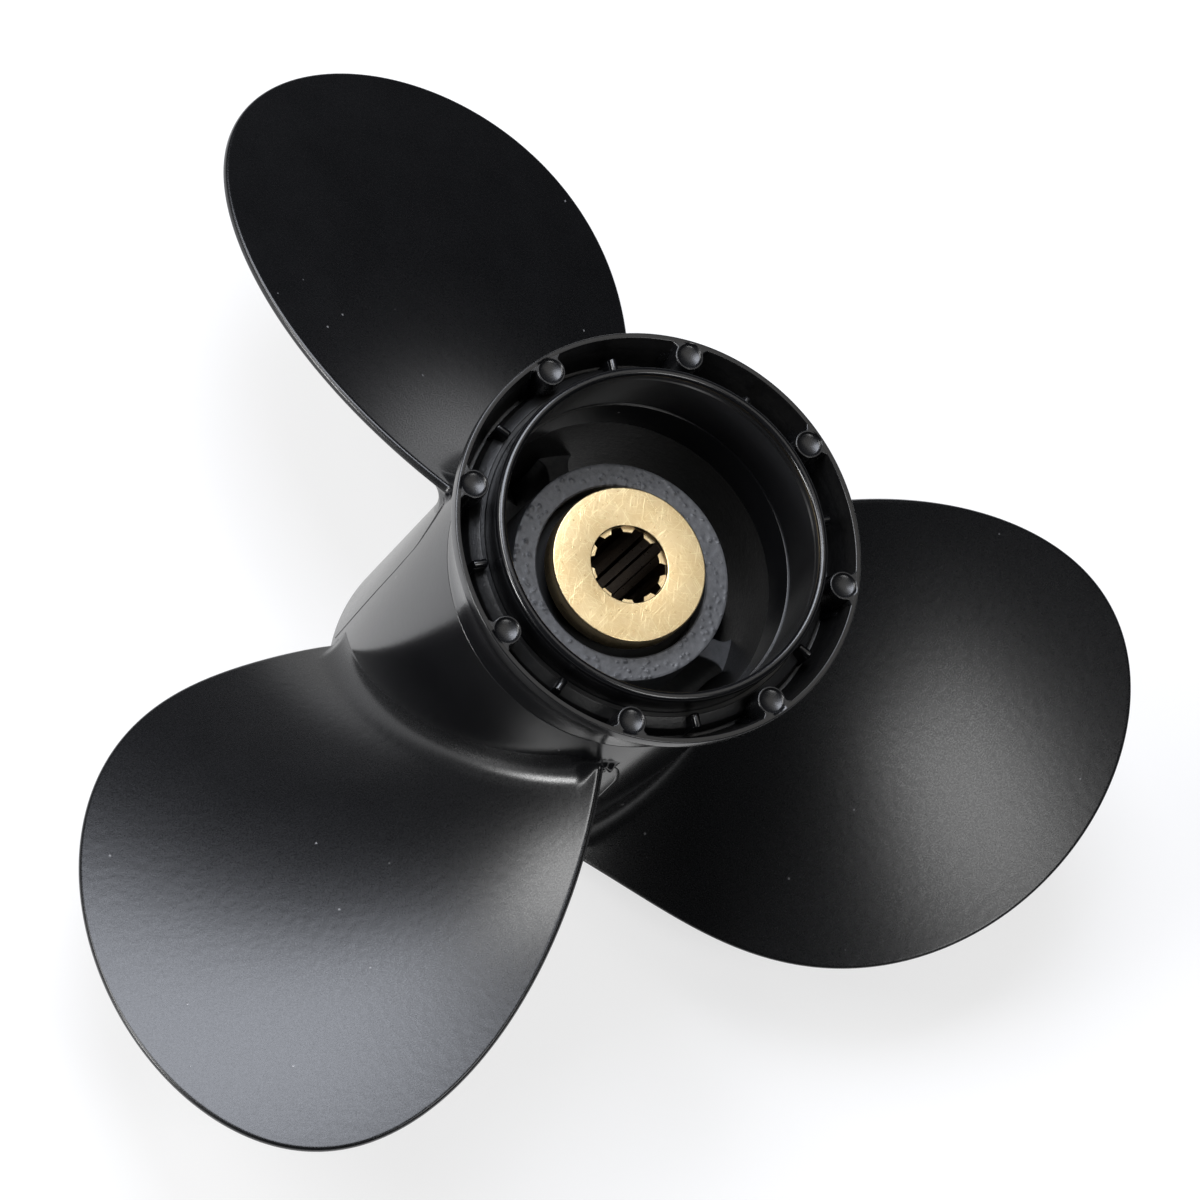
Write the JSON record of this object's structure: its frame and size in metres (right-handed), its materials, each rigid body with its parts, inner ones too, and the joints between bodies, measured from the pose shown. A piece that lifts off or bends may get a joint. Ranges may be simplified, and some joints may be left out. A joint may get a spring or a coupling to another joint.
{
  "type": "outboard boat propeller",
  "caption": "Right-hand outboard boat propeller with broad rounded blades, through-hub exhaust duct, flared aft ring and a splined brass insert held in a rubber cushion.",
  "frame": {"origin": "on the propeller shaft's axis, in the plane of the hub's front end face, which the part stands on", "axes": "+Z along the shaft axis, pointing aft (the way the exhaust leaves); +Y along the root of blade_1"},
  "size_m": [0.235, 0.2289, 0.1142],
  "materials": {
    "satin_black_paint": "satin",
    "dark_casting": "matte",
    "black_rubber": "matte",
    "brass": "satin"
  },
  "bodies": {
    "casting": {"outer_hub": "satin_black_paint", "diffuser_ring": "satin_black_paint", "lip_wall": "satin_black_paint", "duct_collar": "satin_black_paint", "inner_barrel": "dark_casting", "blade_1": "satin_black_paint", "blade_2": "satin_black_paint", "blade_3": "satin_black_paint", "spoke_1": "dark_casting", "spoke_2": "dark_casting", "spoke_3": "dark_casting", "ejector_pad_1": "satin_black_paint", "ejector_pad_2": "satin_black_paint", "ejector_pad_3": "satin_black_paint", "ejector_pad_4": "satin_black_paint", "ejector_pad_5": "satin_black_paint", "ejector_pad_6": "satin_black_paint", "ejector_pad_7": "satin_black_paint", "ejector_pad_8": "satin_black_paint", "channel_rib_1": "satin_black_paint", "channel_rib_2": "satin_black_paint", "channel_rib_3": "satin_black_paint", "channel_rib_4": "satin_black_paint", "channel_rib_5": "satin_black_paint", "channel_rib_6": "satin_black_paint", "channel_rib_7": "satin_black_paint", "channel_rib_8": "satin_black_paint"},
    "cushion": {"rubber_bush": "black_rubber"},
    "insert": {"splined_insert": "brass"}
  },
  "joints": [
    {"name": "overload_slip", "type": "hinge", "parent": "casting", "child": "cushion", "pos_m": [0, 0, 0.053], "axis": [0, 0, 1], "continuous": true},
    {"name": "cushion_wind_up", "type": "hinge", "parent": "cushion", "child": "insert", "pos_m": [0, 0, 0.053], "axis": [0, 0, 1], "range_deg": [-8, 8], "stiffness_Nm_per_rad": 600}
  ]
}
